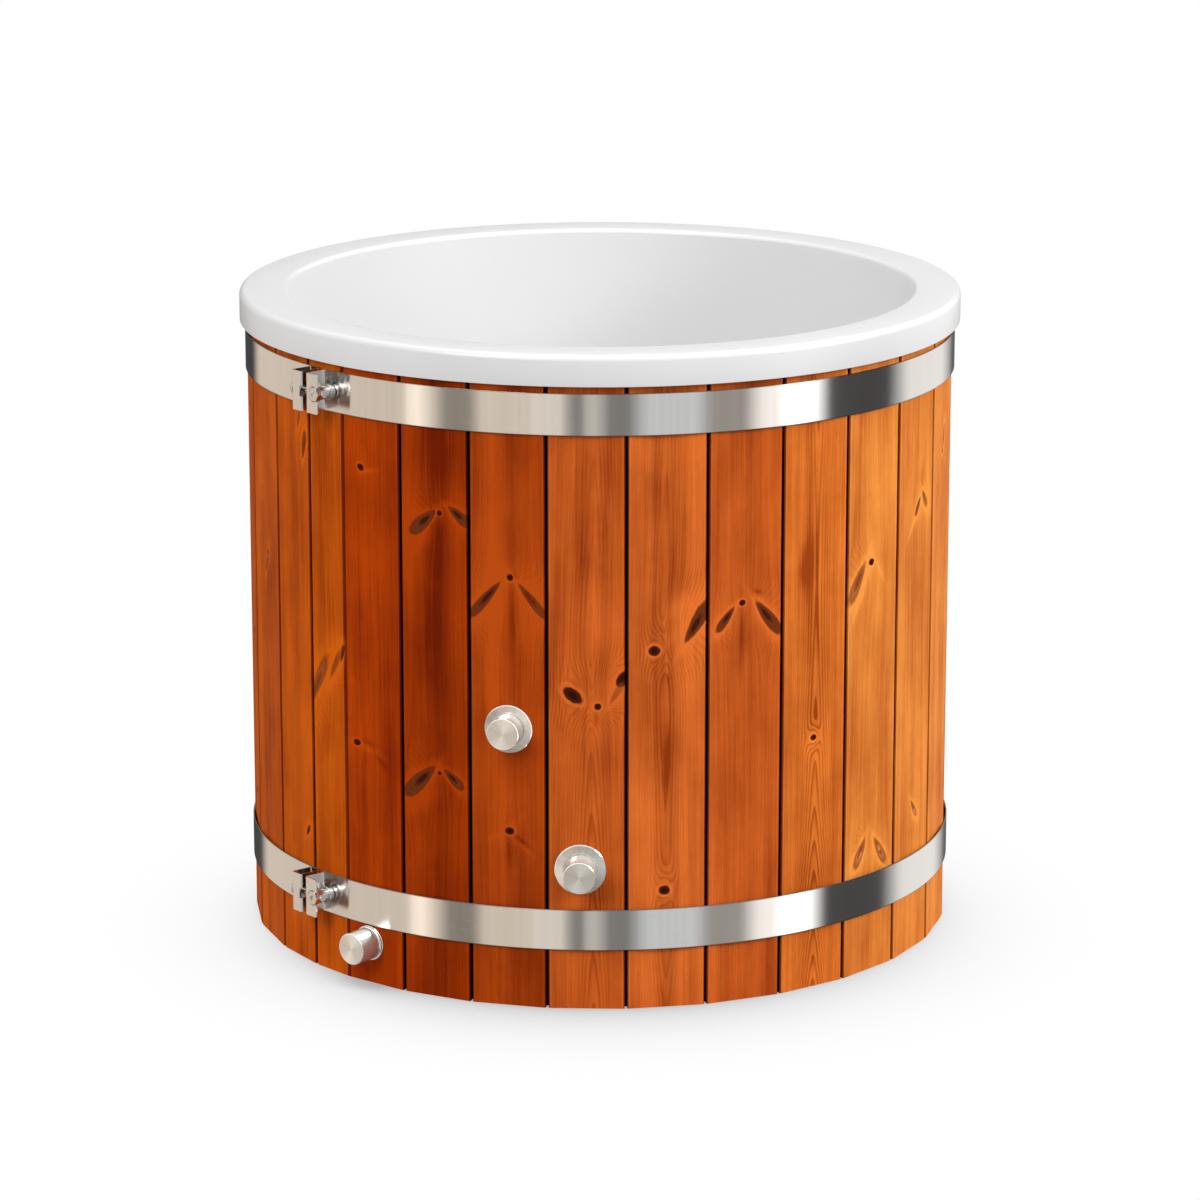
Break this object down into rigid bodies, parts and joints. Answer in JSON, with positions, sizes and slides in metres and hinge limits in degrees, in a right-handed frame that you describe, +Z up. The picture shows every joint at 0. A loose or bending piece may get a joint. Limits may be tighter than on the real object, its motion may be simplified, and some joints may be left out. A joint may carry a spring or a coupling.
{
  "type": "cold plunge tub",
  "caption": "Round staved wooden cold plunge tub with a white moulded liner, two steel hoops with bolted clamps, two capped ports low on the front and a capped drain",
  "frame": {"origin": "on the floor, on the barrel's upright axis", "axes": "+Z up; -Y is the front, where the lower port is; +X is to the right seen from the front"},
  "size_m": [1.1, 1.133, 0.9821],
  "materials": {
    "stained_pine": "knotty pine, stained orange brown, satin",
    "plain_pine": "planed pine, untreated",
    "foam": "rigid insulating foam",
    "white_liner": "white moulded polyethylene, satin",
    "hoop_steel": "stainless strip, finely brushed along its length and half polished",
    "bolt_steel": "bright stainless",
    "fitting_steel": "machined stainless",
    "turned_steel": "stainless, turned so that the faces are brushed in rings",
    "bright_steel": "polished stainless",
    "seal_rubber": "black EPDM",
    "white_plastic": "moulded ABS",
    "grey_plastic": "grey PVC"
  },
  "bodies": {
    "tub": {"stave_01": "stained_pine", "stave_02": "stained_pine", "stave_03": "stained_pine", "stave_04": "stained_pine", "stave_05": "stained_pine", "stave_06": "stained_pine", "stave_07": "stained_pine", "stave_08": "stained_pine", "stave_09": "stained_pine", "stave_10": "stained_pine", "stave_11": "stained_pine", "stave_12": "stained_pine", "stave_13": "stained_pine", "stave_14": "stained_pine", "stave_15": "stained_pine", "stave_16": "stained_pine", "stave_17": "stained_pine", "stave_18": "stained_pine", "stave_19": "stained_pine", "stave_20": "stained_pine", "stave_21": "stained_pine", "stave_22": "stained_pine", "stave_23": "stained_pine", "stave_24": "stained_pine", "stave_25": "stained_pine", "stave_26": "stained_pine", "stave_27": "stained_pine", "stave_28": "stained_pine", "stave_29": "stained_pine", "bearers": "plain_pine", "floor_boards": "plain_pine", "floor_foam": "foam", "wall_foam": "foam", "liner": "white_liner", "hoop_upper": "hoop_steel", "hoop_lower": "hoop_steel", "tension_bolts": "bolt_steel", "barrel_nuts": "bolt_steel", "clamp_washers": "bolt_steel", "upper_spigot": "fitting_steel", "upper_flange": "turned_steel", "lower_spigot": "fitting_steel", "lower_flange": "turned_steel", "port_gaskets": "seal_rubber", "port_grilles": "white_plastic", "drain_strainer": "fitting_steel", "drain_outlet": "white_plastic", "drain_gasket": "seal_rubber", "drain_nut": "white_plastic", "drain_elbow": "grey_plastic", "drain_pipe": "fitting_steel", "drain_flange": "bright_steel"},
    "upper_cap_carrier": {"upper_cap_seal": "seal_rubber"},
    "upper_screw_cap": {"upper_cap": "turned_steel"},
    "lower_cap_carrier": {"lower_cap_seal": "seal_rubber"},
    "lower_screw_cap": {"lower_cap": "turned_steel"},
    "drain_cap_carrier": {"drain_cap_seal": "seal_rubber"},
    "drain_screw_cap": {"drain_cap": "turned_steel"}
  },
  "joints": [
    {"name": "upper_cap_advance", "type": "slide", "parent": "tub", "child": "upper_cap_carrier", "axis": [-0.2496, -0.9684, 0], "range_m": [0, 0.01155]},
    {"name": "upper_cap_turn", "type": "hinge", "parent": "upper_cap_carrier", "child": "upper_screw_cap", "pos_m": [-0.1415, -0.55305, 0.423], "axis": [-0.2496, -0.9684, 0], "range_deg": [0, 1800]},
    {"name": "lower_cap_advance", "type": "slide", "parent": "tub", "child": "lower_cap_carrier", "axis": [-0.0367, -0.9993, 0], "range_m": [0, 0.01155]},
    {"name": "lower_cap_turn", "type": "hinge", "parent": "lower_cap_carrier", "child": "lower_screw_cap", "pos_m": [-0.03039, -0.58215, 0.214], "axis": [-0.0367, -0.9993, 0], "range_deg": [0, 1800]},
    {"name": "drain_cap_advance", "type": "slide", "parent": "tub", "child": "drain_cap_carrier", "axis": [-0.6209, -0.7839, 0], "range_m": [0, 0.01155]},
    {"name": "drain_cap_turn", "type": "hinge", "parent": "drain_cap_carrier", "child": "drain_screw_cap", "pos_m": [-0.37032, -0.44817, 0.062], "axis": [-0.6209, -0.7839, 0], "range_deg": [0, 1800]}
  ],
  "couplings": [
    {"joint": "upper_cap_advance", "follows": "upper_cap_turn", "m_per_rad": 0.00036749},
    {"joint": "lower_cap_advance", "follows": "lower_cap_turn", "m_per_rad": 0.00036749},
    {"joint": "drain_cap_advance", "follows": "drain_cap_turn", "m_per_rad": 0.00036749}
  ]
}
